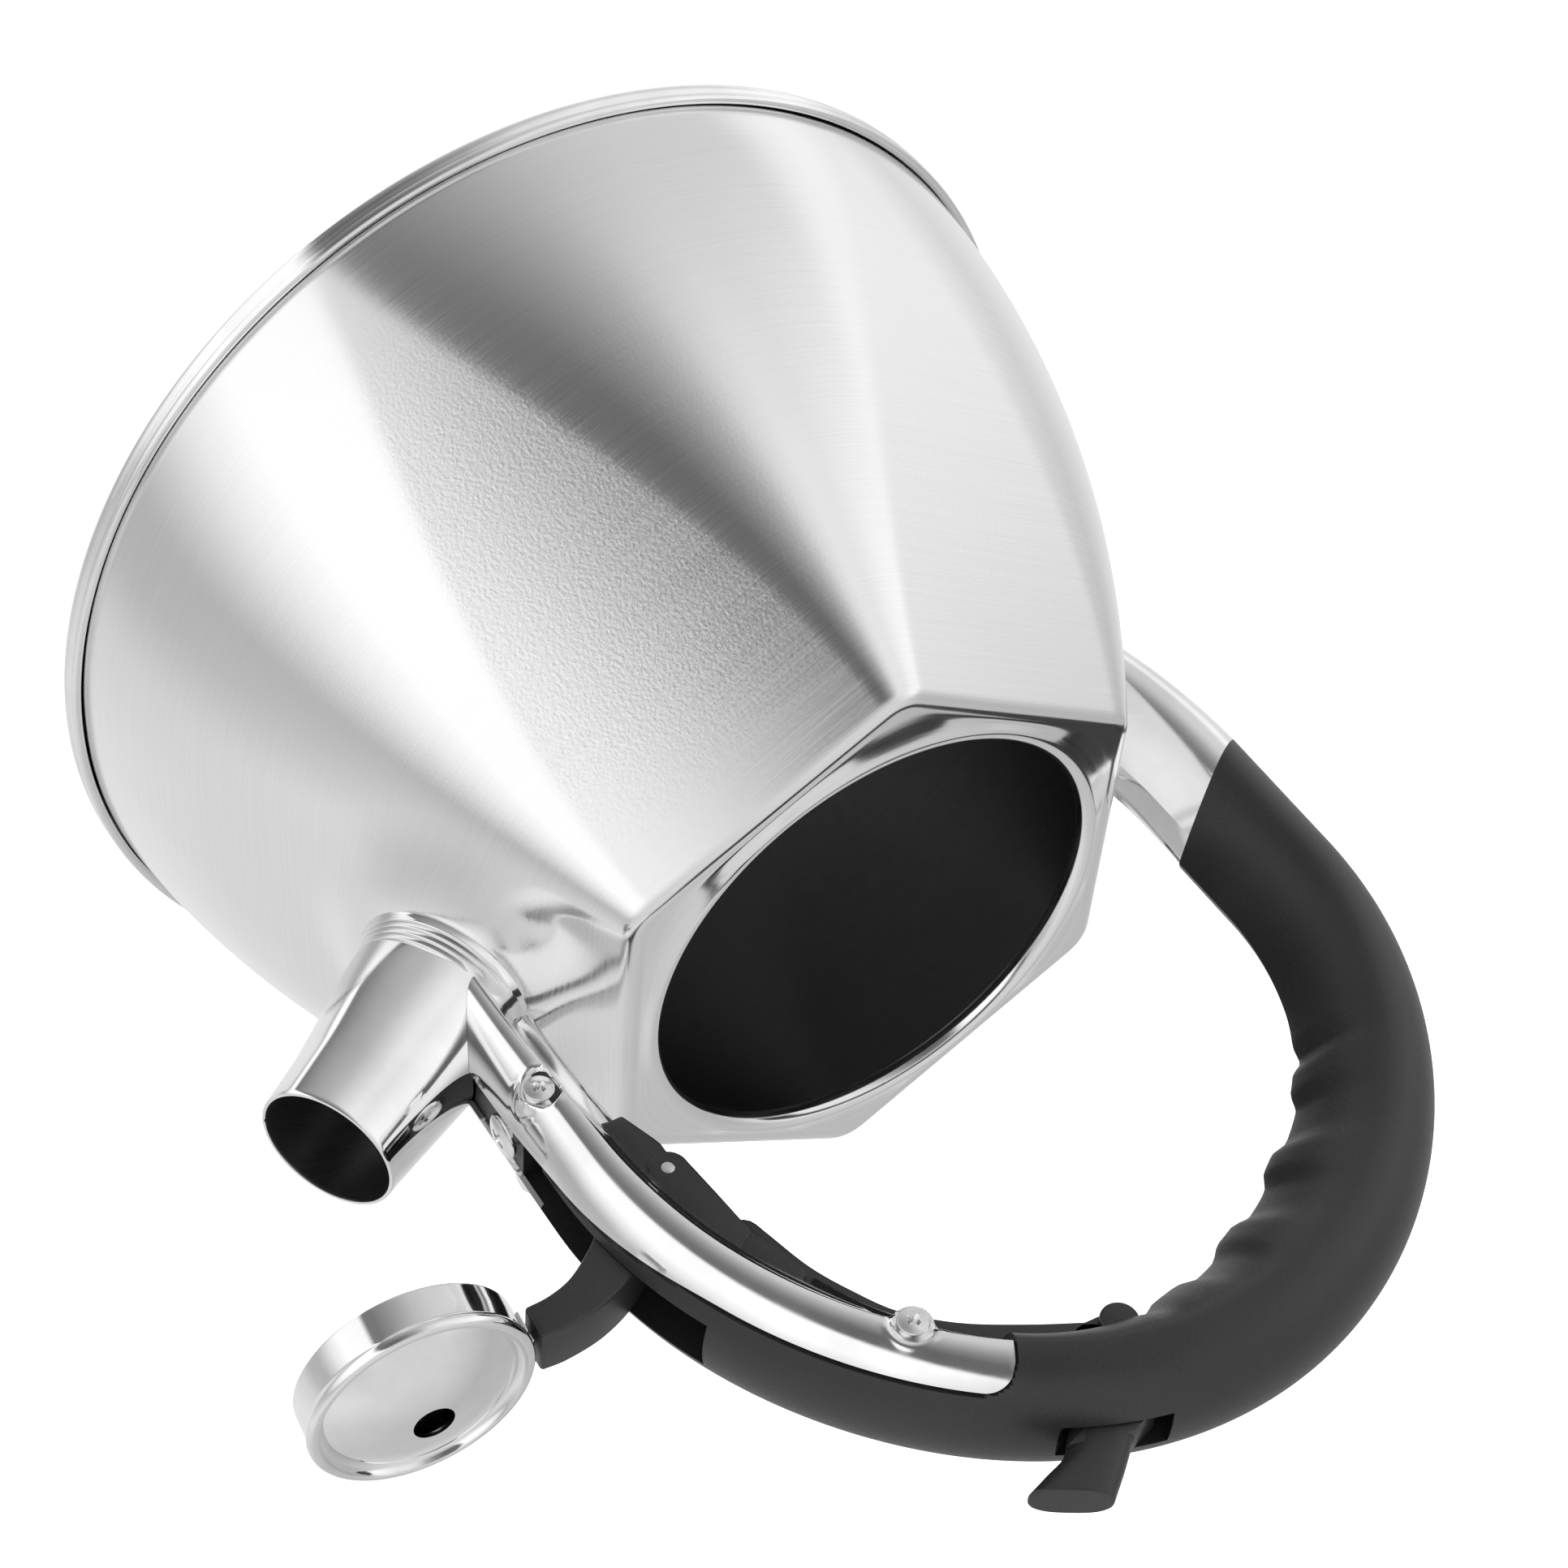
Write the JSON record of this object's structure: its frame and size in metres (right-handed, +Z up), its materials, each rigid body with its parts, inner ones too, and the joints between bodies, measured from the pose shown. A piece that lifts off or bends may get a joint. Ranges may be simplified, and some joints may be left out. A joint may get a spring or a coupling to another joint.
{
  "type": "stovetop whistling kettle",
  "caption": "Steel stovetop kettle, round foot rising to a hexagonal top, with an arched nylon handle and a thumb-operated whistle cap over its spout.",
  "frame": {"origin": "centre of the underside, on the body's axis, on the surface that the kettle stands on", "axes": "+Z up along the body's axis, +X towards the spout, the handle and the whistle linkage in the plane y = 0"},
  "size_m": [0.2403, 0.21, 0.2368],
  "materials": {
    "body_steel": "satin brushed stainless with a fine grain",
    "polished_steel": "mirror polished stainless",
    "base_aluminium": "plain pressed aluminium",
    "black_nylon": "fine sparkle-grained black nylon",
    "pin_steel": "plain steel fixings"
  },
  "bodies": {
    "kettle": {"body_shell": "body_steel", "base_pan": "polished_steel", "base_core": "base_aluminium", "base_cover": "body_steel", "spout_tube": "polished_steel", "spout_collar": "polished_steel", "rear_ferrule": "polished_steel", "ferrule_plate": "polished_steel", "rear_tang": "pin_steel", "grip": "black_nylon", "front_bracket": "polished_steel", "bracket_screws": "pin_steel", "channel_screw": "pin_steel", "trigger_pin": "pin_steel", "arm_pin": "pin_steel"},
    "trigger": {"trigger": "black_nylon"},
    "link": {"link_rod": "black_nylon", "link_pin": "pin_steel"},
    "whistle": {"whistle_arm": "black_nylon", "crank_pin": "pin_steel", "cap_shell": "polished_steel", "whistle_plate": "polished_steel", "cap_ear": "polished_steel", "cap_rivet": "pin_steel"}
  },
  "joints": [
    {"name": "whistle_hinge", "type": "hinge", "parent": "kettle", "child": "whistle", "pos_m": [0.0615, 0, 0.15], "axis": [0, 1, 0], "range_deg": [0, 54]},
    {"name": "trigger_hinge", "type": "hinge", "parent": "kettle", "child": "trigger", "pos_m": [0.015, 0, 0.221], "axis": [0, -1, 0], "range_deg": [0, 25.3]},
    {"name": "link_hinge", "type": "hinge", "parent": "trigger", "child": "link", "pos_m": [0.0128, 0, 0.211], "axis": [0, 1, 0], "range_deg": [0, 29.9]}
  ],
  "couplings": [
    {"joint": "trigger_hinge", "follows": "whistle_hinge", "ratio": 0.4662},
    {"joint": "link_hinge", "follows": "whistle_hinge", "ratio": 0.5517}
  ]
}
